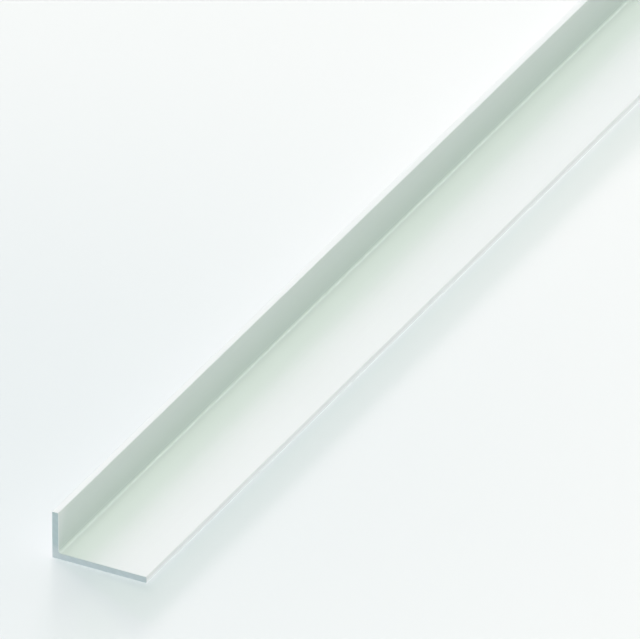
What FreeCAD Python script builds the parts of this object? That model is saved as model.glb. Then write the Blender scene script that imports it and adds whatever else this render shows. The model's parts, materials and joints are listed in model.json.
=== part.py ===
import FreeCAD, Part
import Sketcher
import os

# Unequal angle profile: one length of L-shaped trim, extruded in rigid PVC.
# Frame: +Z up. The wide leg lies flat on Z = 0 and the short leg stands on its -X edge.
# The length runs along Y, and the origin is the middle of the wide leg's underside.

NODE = "angle_profile"

# Driving sizes in millimetres: name, value, what it sets.
SIZES = [
    ("wide_leg", 30.0, "outer width of the leg that lies flat"),
    ("short_leg", 15.0, "outer height of the leg that stands"),
    ("wall", 2.0, "thickness of both legs"),
    ("bar_length", 1000.0, "length from one sawn end to the other"),
    ("root_radius", 0.8, "fillet in the inside corner"),
    ("heel_radius", 0.3, "rounding of the outside corner"),
    ("toe_radius", 0.2, "rounding of the corners along each leg's free edge"),
]

# Sketcher's numbers for a line's two ends, and for the sketch's own axis and origin.
START, END = 1, 2
X_AXIS = -1
ORIGIN = (-1, 1)

# How near an edge lies to a corner of the section to count as running along it.
SAME_PLACE = 1e-4


def make_size_sheet(doc):
    """The spreadsheet that holds the driving sizes, one row each."""
    sheet = doc.addObject("Spreadsheet::Sheet", "sizes")
    for row, (name, value, meaning) in enumerate(SIZES, 1):
        sheet.set(f"A{row}", name)
        sheet.set(f"B{row}", str(value))
        sheet.set(f"C{row}", meaning)
        sheet.setAlias(f"B{row}", name)
    doc.recompute()
    return sheet


def section_corners(sheet):
    """The six corners of the square-cornered section as (x, z), round from the heel."""
    back = -sheet.wide_leg / 2
    return {
        "heel": (back, 0.0),
        "wide_toe_low": (back + sheet.wide_leg, 0.0),
        "wide_toe_high": (back + sheet.wide_leg, sheet.wall),
        "root": (back + sheet.wall, sheet.wall),
        "short_toe_inner": (back + sheet.wall, sheet.short_leg),
        "short_toe_outer": (back, sheet.short_leg),
    }


def draw_section(body, sheet):
    """The square-cornered L as a fully constrained sketch: across is X, up is Z."""
    sketch = body.newObject("Sketcher::SketchObject", "section")
    plane = next(item for item in body.Origin.OriginFeatures if item.Role == "XZ_Plane")
    sketch.AttachmentSupport = [(plane, "")]
    sketch.MapMode = "FlatFace"

    points = [FreeCAD.Vector(x, z, 0) for x, z in section_corners(sheet).values()]
    lines = range(len(points))
    for line in lines:
        following = (line + 1) % len(points)
        sketch.addGeometry(Part.LineSegment(points[line], points[following]), False)
    for line in lines:
        following = (line + 1) % len(points)
        sketch.addConstraint(Sketcher.Constraint("Coincident", line, END, following, START))

    underside, wide_toe, wide_inside, short_inside, short_toe, back = lines
    for line in (underside, wide_inside, short_toe):
        sketch.addConstraint(Sketcher.Constraint("Horizontal", line))
    for line in (wide_toe, short_inside, back):
        sketch.addConstraint(Sketcher.Constraint("Vertical", line))
    sketch.addConstraint(Sketcher.Constraint("PointOnObject", underside, START, X_AXIS))

    dimensions = [
        ("half_width", "DistanceX", (underside, START, *ORIGIN), "sizes.wide_leg / 2"),
        ("width", "DistanceX", (underside, START, underside, END), "sizes.wide_leg"),
        ("height", "DistanceY", (back, END, back, START), "sizes.short_leg"),
        ("wide_leg_wall", "DistanceY", (wide_toe, START, wide_toe, END), "sizes.wall"),
        ("short_leg_wall", "DistanceX", (short_toe, END, short_toe, START), "sizes.wall"),
    ]
    for name, direction, places, expression in dimensions:
        drawn = sketch.evalExpression(expression)
        number = sketch.addConstraint(Sketcher.Constraint(direction, *places, drawn))
        sketch.renameConstraint(number, name)
        sketch.setExpression(f"Constraints.{name}", expression)
    return sketch


def extrude_section(body, sketch):
    """The section carried the whole length, half to each side of the sketch's plane."""
    bar = body.newObject("PartDesign::Pad", "bar")
    bar.Profile = sketch
    bar.SideType = "Symmetric"
    bar.setExpression("Length", "sizes.bar_length")
    return bar


def edges_along(shape, places):
    """Names of the edges that run along the length through the given (x, z) places."""
    names = []
    for number, edge in enumerate(shape.Edges, 1):
        box = edge.BoundBox
        for x, z in places:
            off = max(abs(box.XMin - x), abs(box.XMax - x), abs(box.ZMin - z), abs(box.ZMax - z))
            if off < SAME_PLACE:
                names.append(f"Edge{number}")
    return names


def round_corners(body, base, name, places, radius_expression):
    """A rounding with one radius, along the corners of the section at these places."""
    rounding = body.newObject("PartDesign::Fillet", name)
    rounding.Base = (base, edges_along(base.Shape, places))
    rounding.setExpression("Radius", radius_expression)
    body.Document.recompute()
    return rounding


def make_profile(doc, sheet):
    """The whole profile: the extruded L, then its root, heel and toes rounded."""
    body = doc.addObject("PartDesign::Body", NODE)
    body.Label = NODE
    bar = extrude_section(body, draw_section(body, sheet))
    doc.recompute()

    corners = section_corners(sheet)
    root = round_corners(body, bar, "root_fillet", [corners["root"]], "sizes.root_radius")
    heel = round_corners(body, root, "heel_round", [corners["heel"]], "sizes.heel_radius")
    toes = [place for name, place in corners.items() if "toe" in name]
    round_corners(body, heel, "toe_rounds", toes, "sizes.toe_radius")
    return body


def check_model(doc, pieces):
    """Stop if any object failed to compute, or a piece has no valid solid."""
    for item in doc.Objects:
        if "Invalid" in item.State or "Error" in item.State:
            raise RuntimeError(f"{item.Label} did not compute: {item.State}")
    for piece in pieces:
        if piece.Shape.isNull() or not piece.Shape.isValid() or not piece.Shape.Solids:
            raise RuntimeError(f"{piece.Label} has no valid solid")


def main():
    doc = FreeCAD.newDocument("angle_profile_stock")
    sheet = make_size_sheet(doc)
    pieces = [make_profile(doc, sheet)]
    doc.recompute()
    check_model(doc, pieces)
    os.makedirs("parts", exist_ok=True)
    for piece in pieces:
        piece.Shape.exportStep(f"parts/{piece.Label}.step")


main()
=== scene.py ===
import json
import math

import bpy
import numpy as np
from mathutils import Matrix, Vector


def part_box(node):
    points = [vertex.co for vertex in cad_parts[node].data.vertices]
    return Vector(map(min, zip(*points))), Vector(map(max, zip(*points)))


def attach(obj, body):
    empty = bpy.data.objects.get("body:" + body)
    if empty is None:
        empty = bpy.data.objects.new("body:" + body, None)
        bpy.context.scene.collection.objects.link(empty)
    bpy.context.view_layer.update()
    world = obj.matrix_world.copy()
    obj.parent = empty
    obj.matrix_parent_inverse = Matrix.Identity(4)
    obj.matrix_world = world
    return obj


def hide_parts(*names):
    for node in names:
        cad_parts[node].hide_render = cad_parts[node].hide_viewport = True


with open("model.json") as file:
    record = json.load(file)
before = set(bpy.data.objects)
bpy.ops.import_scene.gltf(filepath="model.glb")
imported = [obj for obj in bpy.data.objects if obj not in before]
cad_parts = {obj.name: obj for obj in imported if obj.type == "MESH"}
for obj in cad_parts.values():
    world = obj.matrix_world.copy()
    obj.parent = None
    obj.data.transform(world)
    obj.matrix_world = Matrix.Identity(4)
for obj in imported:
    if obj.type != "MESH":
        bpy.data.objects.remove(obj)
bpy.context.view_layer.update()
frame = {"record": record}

# One length of unequal angle in white PVC, lying on a pale floor. Metres, in the row's frame:
# the wide leg lies flat, the short leg stands on its -X edge and the length runs along Y.

NODE = "angle_profile"
MM = 0.001

# The section's roundings, as in the part's source.
ROOT_RADIUS = 0.8 * MM
HEEL_RADIUS = 0.3 * MM
TOE_RADIUS = 0.2 * MM

# The mesh: steps through the wall, rings along the bar, and how far in the first one stands.
THROUGH_STEPS = 12
RINGS_BETWEEN = 44
FIRST_RING = 12.0 * MM
SHARP_EDGE = math.radians(32.0)

# The faint grooves that the die leaves along the legs.
DIE_SPACING = 1.1 * MM
DIE_DEPTH = 0.007 * MM
DIE_HALF_WIDTH = 0.22 * MM
DIE_SEED = 7

# The saw's arcs across the ends, and how much its edge is broken round both ends.
SAW_PITCH = 0.9 * MM
SAW_DEPTH = 0.012 * MM
END_BREAK = 0.08 * MM

# The view: a very long lens, so that the length hardly narrows away from the camera.
IMAGE_WIDTH, IMAGE_HEIGHT = 640, 639
VIEW_AZIMUTH = math.radians(27.85)
VIEW_ELEVATION = math.radians(30.9)
LENS_MM = 1600.0
SENSOR_MM = 36.0
NEAR_HEEL_PIXEL = (52.2, 557.3)
PIXELS_PER_METRE = 3561.0


def mount_place(name):
    """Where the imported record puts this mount, in metres."""
    return next(mount["pos_m"] for mount in frame["record"]["mounts"] if mount["name"] == name)


LOW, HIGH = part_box(NODE)
LENGTH = HIGH.y - LOW.y
WALL = mount_place("wide_leg_inside")[2] - LOW.z

# Where the saw's centre stood as it cut the ends, as (x, z).
SAW_CENTRE = (LOW.x - 0.045, LOW.z - 0.085)


# The section

def arc(centre, radius, first, last, steps):
    """Points on a circle: the centre plus the radius times (cos a, sin a), where the angle a
    goes evenly from first to last, in degrees."""
    angle = np.radians(np.linspace(first, last, steps + 1))
    return np.asarray(centre) + radius * np.stack([np.cos(angle), np.sin(angle)], axis=1)


def run(start, end, steps):
    """Points evenly along a straight line, without its two ends: start + k (end - start)."""
    share = np.linspace(0.0, 1.0, steps + 1)[1:-1, None]
    return np.asarray(start) * (1.0 - share) + np.asarray(end) * share


def section_skins(short_steps, wide_steps, arc_steps):
    """The outer and the inner line of the L, from the short leg's toe round to the wide leg's.

    Each is a chain: a quarter circle at the toe, the leg, a quarter circle at the heel or the
    root, the other leg and a quarter circle at its toe. Both have as many points, so that
    point i of one lies across the wall from point i of the other.
    """
    back, free, top = LOW.x, HIGH.x, HIGH.z
    face, inside = back + WALL, LOW.z + WALL
    outer = [
        arc((back + TOE_RADIUS, top - TOE_RADIUS), TOE_RADIUS, 90, 180, arc_steps),
        run((back, top - TOE_RADIUS), (back, LOW.z + HEEL_RADIUS), short_steps),
        arc((back + HEEL_RADIUS, LOW.z + HEEL_RADIUS), HEEL_RADIUS, 180, 270, arc_steps),
        run((back + HEEL_RADIUS, LOW.z), (free - TOE_RADIUS, LOW.z), wide_steps),
        arc((free - TOE_RADIUS, LOW.z + TOE_RADIUS), TOE_RADIUS, 270, 360, arc_steps),
    ]
    inner = [
        arc((face - TOE_RADIUS, top - TOE_RADIUS), TOE_RADIUS, 90, 0, arc_steps),
        run((face, top - TOE_RADIUS), (face, inside + ROOT_RADIUS), short_steps),
        arc((face + ROOT_RADIUS, inside + ROOT_RADIUS), ROOT_RADIUS, 180, 270, arc_steps),
        run((face + ROOT_RADIUS, inside), (free - TOE_RADIUS, inside), wide_steps),
        arc((free - TOE_RADIUS, inside - TOE_RADIUS), TOE_RADIUS, 90, 0, arc_steps),
    ]
    return np.concatenate(outer), np.concatenate(inner)


def outward(line, side):
    """Unit normals of a line of points: its direction (dx, dz) turned to (dz, -dx), times side."""
    direction = np.gradient(line, axis=0)
    normal = np.stack([direction[:, 1], -direction[:, 0]], axis=1) * side
    return normal / np.linalg.norm(normal, axis=1, keepdims=True)


def distance_along(line):
    """How far each point lies along the line from its first point."""
    steps = np.linalg.norm(np.diff(line, axis=0), axis=1)
    return np.concatenate([[0.0], np.cumsum(steps)])


# The bar

def die_lines(line, rings, rng):
    """Depth of the die's grooves: one row for each ring, which is a distance along the bar, and
    one column for each point of the line.

    Each groove is a bell curve exp(-(d / half width) squared) of the distance d round the
    section from its own place. Along the bar its depth swells and fades as a slow cosine wave.
    """
    distance = distance_along(line)
    count = int(distance[-1] / DIE_SPACING)
    place = rng.uniform(0.0, distance[-1], count)
    width = DIE_HALF_WIDTH * rng.uniform(0.6, 1.6, count)
    strength = DIE_DEPTH * rng.uniform(0.2, 1.0, count)
    wave = rng.uniform(0.15, 0.6, count)
    start = rng.uniform(0.0, 2.0 * np.pi, count)
    across = np.exp(-(((distance[:, None] - place) / width) ** 2)) * strength
    swell = 0.55 + 0.45 * np.cos(2.0 * np.pi * rings[:, None] / wave + start)
    return swell @ across.T


def drawn_sides(section, normals, rings):
    """The section at every ring: the outer and the inner skin less the normal times the depth
    of the die's grooves."""
    rng = np.random.default_rng(DIE_SEED)
    sides = np.repeat(section[None], len(rings), axis=0)
    for skin, normal in normals.items():
        sides[:, :, skin] -= die_lines(section[:, skin], rings, rng)[:, :, None] * normal
    return sides


def broken_end(section, normals):
    """The section of a sawn end: each skin less the normal times the broken edge, and both
    toes cut back by as much."""
    broken = section.copy()
    for skin, normal in normals.items():
        broken[:, skin] -= END_BREAK * normal
    broken[0, :, 1] = HIGH.z - END_BREAK
    broken[-1, :, 0] = HIGH.x - END_BREAK
    return broken


def saw_marks(places):
    """How deep the saw's marks cut at (x, z): a raised cosine of the distance from the saw's
    centre, so they are wide arcs at an even pitch, times a fade towards the wall's two skins,
    the square root of the sine of half a turn through the wall."""
    reach = np.linalg.norm(places - np.array(SAW_CENTRE), axis=-1)
    fade = np.sin(np.pi * np.linspace(0.0, 1.0, places.shape[1])) ** 0.5
    return SAW_DEPTH * 0.5 * (1.0 + np.cos(2.0 * np.pi * reach / SAW_PITCH)) * fade


def placed(places, along):
    """Places of the section as points (x, y, z), each at its distance along the bar."""
    return np.stack([places[..., 0], LOW.y + along, places[..., 1]], axis=-1).reshape(-1, 3)


def grid_quads(ids):
    """The quads of a grid of point numbers: (i, j), (i + 1, j), (i + 1, j + 1), (i, j + 1)."""
    quads = np.stack([ids[:-1, :-1], ids[1:, :-1], ids[1:, 1:], ids[:-1, 1:]], axis=-1)
    return quads.reshape(-1, 4)


def mesh_from(name, points, faces, materials):
    """A mesh with these points and quads, smooth but for its sharp edges."""
    mesh = bpy.data.meshes.new(name)
    mesh.from_pydata(points.tolist(), [], faces.tolist())
    for material in materials:
        mesh.materials.append(material)
    mesh.polygons.foreach_set("use_smooth", np.ones(len(faces), bool))
    mesh.set_sharp_from_angle(angle=SHARP_EDGE)
    mesh.update()
    return mesh


def put_in_scene(name, data):
    """A new object that holds this mesh, lamp or camera."""
    made = bpy.data.objects.new(name, data)
    bpy.context.scene.collection.objects.link(made)
    return made


def build_extrusion(skin_finish, sawn_finish):
    """The whole bar as one closed mesh.

    The section is a grid: parameter one goes round the L from toe to toe, and parameter two
    goes straight through the wall, outer skin (1 - k) + inner skin k. Each sawn end is that
    grid, and the sides carry its rim along Y through a row of rings. The ends' rims are the
    sides' first and last hoops, so nothing is left open.
    """
    outer, inner = section_skins(short_steps=120, wide_steps=260, arc_steps=6)
    through = np.linspace(0.0, 1.0, THROUGH_STEPS + 1)[None, :, None]
    section = outer[:, None, :] * (1.0 - through) + inner[:, None, :] * through
    normals = {0: outward(outer, 1.0), -1: outward(inner, -1.0)}

    near_ids = np.arange(section[..., 0].size).reshape(section.shape[:2])
    rim = [near_ids[:, 0], near_ids[-1, 1:-1], near_ids[::-1, -1], near_ids[0, -2:0:-1]]
    rim = np.concatenate(rim)

    between = np.linspace(FIRST_RING, LENGTH - FIRST_RING, RINGS_BETWEEN)
    rings = np.concatenate([[END_BREAK], between, [LENGTH - END_BREAK]])
    sides = drawn_sides(section, normals, rings).reshape(len(rings), -1, 2)[:, rim]

    end = broken_end(section, normals)
    marks = saw_marks(end)
    near = placed(end, marks)
    far = placed(end, LENGTH - marks)
    middle = placed(sides, np.broadcast_to(rings[:, None], sides.shape[:2]))
    points = np.concatenate([near, far, middle])

    side_ids = 2 * len(near) + np.arange(len(middle)).reshape(len(rings), len(rim))
    hoops = np.concatenate([rim[None], side_ids, rim[None] + len(near)])
    closed_hoops = np.concatenate([hoops, hoops[:, :1]], axis=1)
    side_quads = grid_quads(closed_hoops)
    near_quads = grid_quads(near_ids)
    far_quads = grid_quads(near_ids + len(near))[:, ::-1]
    faces = np.concatenate([side_quads, near_quads, far_quads])

    name = NODE + "_extruded"
    mesh = mesh_from(name, points, faces, [skin_finish, sawn_finish])
    finishes = np.zeros(len(faces), np.int32)
    finishes[len(side_quads):] = 1
    mesh.polygons.foreach_set("material_index", finishes)
    bar = put_in_scene(name, mesh)
    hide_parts(NODE)
    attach(bar, "root")
    return bar


# Finishes

class Wire:
    """One socket of a node tree. Arithmetic on it adds Math nodes, so that shader maths reads
    as maths."""

    def __init__(self, tree, socket=None):
        self.tree = tree
        self.socket = socket

    def node(self, kind, settings=None, sockets=None, output=0):
        """Adds a node of this type: first its settings, then its sockets' values or links."""
        made = self.tree.nodes.new(kind)
        for name, value in (settings or {}).items():
            setattr(made, name, value)
        for name, value in (sockets or {}).items():
            if isinstance(value, Wire):
                self.tree.links.new(value.socket, made.inputs[name])
            else:
                made.inputs[name].default_value = value
        return Wire(self.tree, made.outputs[output]) if made.outputs else made

    def maths(self, operation, *others):
        """A Math node on this wire and the other values."""
        return self.node("ShaderNodeMath", {"operation": operation}, dict(enumerate((self, *others))))

    def vector(self, operation, *others, output=0):
        """A Vector Math node on this wire and the other values."""
        sockets = dict(enumerate((self, *others)))
        return self.node("ShaderNodeVectorMath", {"operation": operation}, sockets, output)

    def mix(self, first, second):
        """The colour first where this wire is 0 and second where it is 1. Sockets 6 and 7 are
        the Mix node's colours, and its output 2 is their mixture."""
        settings = {"data_type": "RGBA", "clamp_factor": True}
        return self.node("ShaderNodeMix", settings, {0: self, 6: first, 7: second}, output=2)

    def noise(self, scale, detail):
        """Smooth noise from 0 to 1 at the place that this wire gives. The scale says how many
        bumps it has to a unit of the place."""
        return self.node("ShaderNodeTexNoise", None, {"Vector": self, "Scale": scale, "Detail": detail})

    def part(self, axis):
        """One of the numbers x, y and z of this wire's vector."""
        return self.node("ShaderNodeSeparateXYZ", None, {0: self}, output="XYZ".index(axis))

    def clamped(self):
        """This wire, kept between 0 and 1."""
        return self.maths("MAXIMUM", 0.0).maths("MINIMUM", 1.0)

    def __add__(self, other):
        return self.maths("ADD", other)

    def __sub__(self, other):
        return self.maths("SUBTRACT", other)

    def __rsub__(self, other):
        return self.node("ShaderNodeMath", {"operation": "SUBTRACT"}, {0: other, 1: self})

    def __mul__(self, other):
        return self.maths("MULTIPLY", other)

    def __truediv__(self, other):
        return self.maths("DIVIDE", other)

    __radd__ = __add__
    __rmul__ = __mul__


def bare_tree(holder):
    """Empties the nodes of a material or of the world, and gives a wire to start from."""
    holder.use_nodes = True
    holder.node_tree.nodes.clear()
    return Wire(holder.node_tree)


def tint(colour, factor=1.0):
    """The colour times a factor, with full alpha."""
    return tuple(channel * factor for channel in colour) + (1.0,)


def new_finish(name):
    """An empty material, with a wire to start from and the place in the row, in millimetres."""
    material = bpy.data.materials.new(name)
    start = bare_tree(material)
    place = start.node("ShaderNodeTexCoord", output="Object").vector("MULTIPLY", (1.0 / MM,) * 3)
    return material, start, place


def distance_from(place, x, z):
    """How far a place lies from the line along the bar through x and z, which are in metres.
    The place and the distance are in millimetres."""
    in_section = place.vector("MULTIPLY", (1.0, 0.0, 1.0))
    return in_section.vector("DISTANCE", (x / MM, 0.0, z / MM), output="Value")


def plastic(start, colour, roughness, height, relief):
    """The plastic's surface shader: height is in units of relief, in metres."""
    normal = start.node("ShaderNodeBump", None, {"Height": height, "Distance": relief, "Strength": 1.0})
    sockets = {"Base Color": colour, "Roughness": roughness, "IOR": PVC_IOR, "Normal": normal}
    shader = start.node("ShaderNodeBsdfPrincipled", None, sockets)
    start.node("ShaderNodeOutputMaterial", None, {"Surface": shader})


PVC_WHITE = (0.860, 0.900, 0.876)
# Painted light: the paler white of the root's painted highlight and of the toe's painted bounce light.
PAINTED_HIGHLIGHT_WHITE = (0.945, 0.985, 0.965)
# The sawn end's own tone low on the wide leg, and a darker tone that paints shade up the short leg.
SAWN_LOW = (0.818, 0.871, 0.862)
SAWN_SHADED_HIGH = (0.665, 0.774, 0.763)
PVC_IOR = 1.53

# The broad arcs in the sawn end's tone, in millimetres like the finishes' places.
SMEAR_PITCH = 2.2


def extruded_skin():
    """Satin skin from the die: streaks drawn out along the bar in colour, gloss and relief,
    over a soft mottle, with a faint orange peel.

    The root is painted paler as a painted highlight, and is glossier, fully within 0.7 of its
    radius and no more by 1.5 of it. The lower half of the wide leg's toe is painted paler too,
    as painted bounce light from the floor.
    """
    material, start, place = new_finish("extruded_pvc_skin")
    drawn = place.vector("MULTIPLY", (1.0, 0.004, 1.0))
    streaks = drawn.noise(1.3, 3.0)
    fine_streaks = drawn.noise(5.0, 2.0)
    mottle = place.noise(0.035, 2.0)
    peel = place.noise(0.9, 2.0)

    from_root = distance_from(place, LOW.x + WALL, LOW.z + WALL + 0.3 * MM)
    from_low_toe = distance_from(place, HIGH.x, LOW.z + 0.45 * MM)
    # Painted highlight along the root, which also makes the root glossier in roughness.
    root_highlight_and_gloss = (1.9 - 1.3 * from_root / (ROOT_RADIUS / MM)).clamped()
    # Painted bounce light: the lower half of the wide leg's toe is painted paler.
    painted_toe_bounce_light = ((0.55 - from_low_toe) / 0.3).clamped()

    shade = 0.5 * streaks + 0.2 * fine_streaks + 0.3 * mottle
    plain = shade.mix(tint(PVC_WHITE, 0.975), tint(PVC_WHITE, 1.02))
    colour = root_highlight_and_gloss.maths("MAXIMUM", painted_toe_bounce_light).mix(plain, tint(PAINTED_HIGHLIGHT_WHITE))
    roughness = (0.33 + 0.14 * streaks + 0.06 * mottle) * (1.0 - 0.6 * root_highlight_and_gloss * root_highlight_and_gloss)
    height = 0.6 * fine_streaks + 0.4 * peel
    plastic(start, colour, roughness, height, 0.006 * MM)
    return material


def sawn_end():
    """Cut face: duller than the skin, with broad arcs left by the saw and a torn grain. It carries
    painted shade up the short leg: darker from the wide leg's inside to 3 mm above it."""
    material, start, place = new_finish("sawn_pvc_end")
    turns = distance_from(place, *SAW_CENTRE) * (2.0 * math.pi / SMEAR_PITCH)
    arcs = 0.5 + 0.5 * turns.maths("SINE")
    grain = place.noise(6.0, 3.0)
    smear = place.noise(0.8, 2.0)
    shade = 0.45 * arcs + 0.35 * grain + 0.2 * smear
    # Painted shade: the sawn end grows darker up the short leg.
    painted_shade_up_leg = ((place.part("Z") - WALL / MM) / 3.0).clamped()
    deep = painted_shade_up_leg.mix(tint(SAWN_LOW, 0.93), tint(SAWN_SHADED_HIGH, 0.93))
    pale = painted_shade_up_leg.mix(tint(SAWN_LOW), tint(SAWN_SHADED_HIGH))
    plastic(start, shade.mix(deep, pale), 0.58 + 0.2 * grain, 0.6 * arcs + 0.4 * grain, 0.012 * MM)
    return material


# Floor, light and camera

FLOOR_HALF = 60.0
# The floor's tone in its painted pool of shade, and its pale tone.
FLOOR_SHADE_POOL = (0.686, 0.725, 0.733)
FLOOR_FAR = (0.789, 0.804, 0.797)

# The floor carries a painted pool of shade, darkest at this place by the bar's near end, and
# reaches its pale tone this far from it.
SHADE_POOL_PLACE = (LOW.x - 0.082, LOW.y + 0.029, LOW.z)
SHADE_POOL_REACH = 0.32

SKY_LOW = (0.30, 0.30, 0.30)
SKY_HIGH = (0.30, 0.415, 0.354)
BACKDROP = (0.948, 0.969, 0.957)

# Each lamp is a name, the way its light travels, how wide it looks from the bar, in degrees,
# and its strength in red, green and blue.
BAR_LAMPS = [
    ("ceiling_box", (0.00, 0.00, -1.00), 32, (0.728, 0.676, 0.620)),
    ("window_behind", (0.47, -0.81, -0.34), 32, (0.861, 0.869, 0.853)),
    ("box_behind", (0.00, -0.82, -0.57), 32, (0.929, 0.927, 0.947)),
    ("box_behind_the_heel", (0.58, -0.58, -0.57), 32, (0.246, 0.000, 0.269)),
    ("glint_in_the_root", (-0.53, -0.76, -0.375), 24, (0.140, 0.187, 0.100)),
    ("cool_window_in_front", (-0.26, 0.97, -0.035), 32, (0.105, 0.211, 0.432)),
    ("table_glow", (-0.82, 0.00, 0.57), 32, (0.846, 0.631, 0.759)),
]

# The main lamp of the floor comes from behind the camera, so that the bar hides its shadow.
# The strip boxes slant alike across the bar and unlike along it: the long shadow keeps one
# edge, and opens into a soft fan in front of the near end.
FLOOR_LAMPS = [
    ("box_behind_the_camera", (-0.45, 1.00, -1.00), 5, (2.775, 2.713, 2.832)),
    ("strip_box_side", (2.68, -1.30, -1.00), 3, (0.510, 0.290, 0.500)),
    ("strip_box_side_middle", (2.68, -1.80, -1.00), 3, (0.650, 0.585, 0.480)),
    ("strip_box_middle", (2.68, -2.40, -1.00), 3, (0.200, 0.165, 0.150)),
    ("strip_box_back_middle", (2.68, -5.00, -1.00), 3, (0.467, 0.453, 0.480)),
    ("strip_box_back", (2.68, -7.50, -1.00), 3, (0.532, 0.400, 0.463)),
    ("high_box_behind", (1.20, -2.20, -1.00), 14, (0.641, 0.605, 0.489)),
    ("middle_box_behind", (2.20, -2.60, -1.00), 6, (0.456, 0.310, 0.400)),
    ("low_box_behind", (2.10, -4.60, -1.00), 7, (0.215, 0.146, 0.184)),
]


def lay_floor():
    """A plain pale floor, with a painted pool of shade in a wide soft round by the near end."""
    material = bpy.data.materials.new("pale_floor")
    start = bare_tree(material)
    # Painted shade: the floor darkens towards the pool's centre.
    reach = start.node("ShaderNodeTexCoord", output="Object").vector("DISTANCE", SHADE_POOL_PLACE, output="Value")
    span = {"Value": reach, "From Min": 0.0, "From Max": SHADE_POOL_REACH}
    share = start.node("ShaderNodeMapRange", {"interpolation_type": "SMOOTHSTEP"}, span)
    colour = share.mix(tint(FLOOR_SHADE_POOL), tint(FLOOR_FAR))
    shader = start.node("ShaderNodeBsdfDiffuse", None, {"Color": colour})
    start.node("ShaderNodeOutputMaterial", None, {"Surface": shader})

    side = np.array([-FLOOR_HALF, FLOOR_HALF])
    x, y = np.meshgrid(side, side, indexing="ij")
    points = np.stack([x, y, np.full_like(x, LOW.z)], axis=-1).reshape(-1, 3)
    corners = np.arange(4).reshape(2, 2)
    floor = put_in_scene("floor", mesh_from("floor", points, grid_quads(corners), [material]))
    return floor


def light_the_room():
    """The room as a dim even sky, a little greener overhead. The camera itself sees an even
    pale backdrop, so that the floor has no visible end."""
    world = bpy.data.worlds.new("studio")
    bpy.context.scene.world = world
    start = bare_tree(world)
    toward = start.node("ShaderNodeTexCoord", output="Generated")
    sky = toward.part("Z").maths("MAXIMUM", 0.0).mix(tint(SKY_LOW), tint(SKY_HIGH))
    lit = start.node("ShaderNodeBackground", None, {"Color": sky, "Strength": 1.0})
    seen = start.node("ShaderNodeBackground", None, {"Color": tint(BACKDROP), "Strength": 1.0})
    direct = start.node("ShaderNodeLightPath", output="Is Camera Ray")
    shown = start.node("ShaderNodeMixShader", None, {0: direct, 1: lit, 2: seen})
    start.node("ShaderNodeOutputWorld", None, {"Surface": shown})


def only(name, item):
    """A collection with one object in it, for a lamp that lights only that one."""
    collection = bpy.data.collections.new(name)
    collection.objects.link(item)
    return collection


def hang_lamps(lamps, lit):
    """Distant soft lamps that light only what is in this collection."""
    for name, travel, width, strength in lamps:
        lamp = bpy.data.lights.new(name, "SUN")
        lamp.energy = max(strength)
        lamp.color = [channel / max(strength) for channel in strength]
        lamp.angle = math.radians(width)
        holder = put_in_scene(name, lamp)
        holder.rotation_euler = Vector(travel).to_track_quat("-Z", "Y").to_euler()
        holder.light_linking.receiver_collection = lit


def light_the_stage(bar, floor):
    """The bar and the floor have their own lamps, so that the bar's soft shading and the
    shadow on the floor are each as in the photograph. The table's glow comes up from below,
    through the floor, which doesn't block it."""
    bar_only = only("bar_only", bar)
    floor_only = only("floor_only", floor)
    hang_lamps(BAR_LAMPS, bar_only)
    hang_lamps(FLOOR_LAMPS, floor_only)
    bpy.data.objects["table_glow"].light_linking.blocker_collection = bar_only


def set_camera():
    """The camera at the photograph's angle, placed so that the bar's near heel corner lies at
    its pixel and a metre there spans its number of pixels."""
    sin_a, cos_a = math.sin(VIEW_AZIMUTH), math.cos(VIEW_AZIMUTH)
    sin_e, cos_e = math.sin(VIEW_ELEVATION), math.cos(VIEW_ELEVATION)
    right = Vector((cos_a, sin_a, 0.0))
    up = Vector((-sin_a * sin_e, cos_a * sin_e, cos_e))
    back = Vector((sin_a * cos_e, -cos_a * cos_e, sin_e))
    heel = Vector((LOW.x, LOW.y, LOW.z))
    distance = LENS_MM / SENSOR_MM * IMAGE_WIDTH / PIXELS_PER_METRE
    aside = (IMAGE_WIDTH / 2 - NEAR_HEEL_PIXEL[0]) / PIXELS_PER_METRE
    above = (NEAR_HEEL_PIXEL[1] - IMAGE_HEIGHT / 2) / PIXELS_PER_METRE
    place = heel + right * aside + up * above + back * distance
    turn = Matrix((right, up, back)).transposed().to_4x4()

    data = bpy.data.cameras.new("camera")
    data.lens = LENS_MM
    data.sensor_width = SENSOR_MM
    data.clip_end = 100.0
    camera = put_in_scene("camera", data)
    camera.matrix_world = Matrix.Translation(place) @ turn
    bpy.context.scene.camera = camera


bpy.context.scene.view_settings.view_transform = "Standard"
light_the_stage(build_extrusion(extruded_skin(), sawn_end()), lay_floor())
light_the_room()
set_camera()
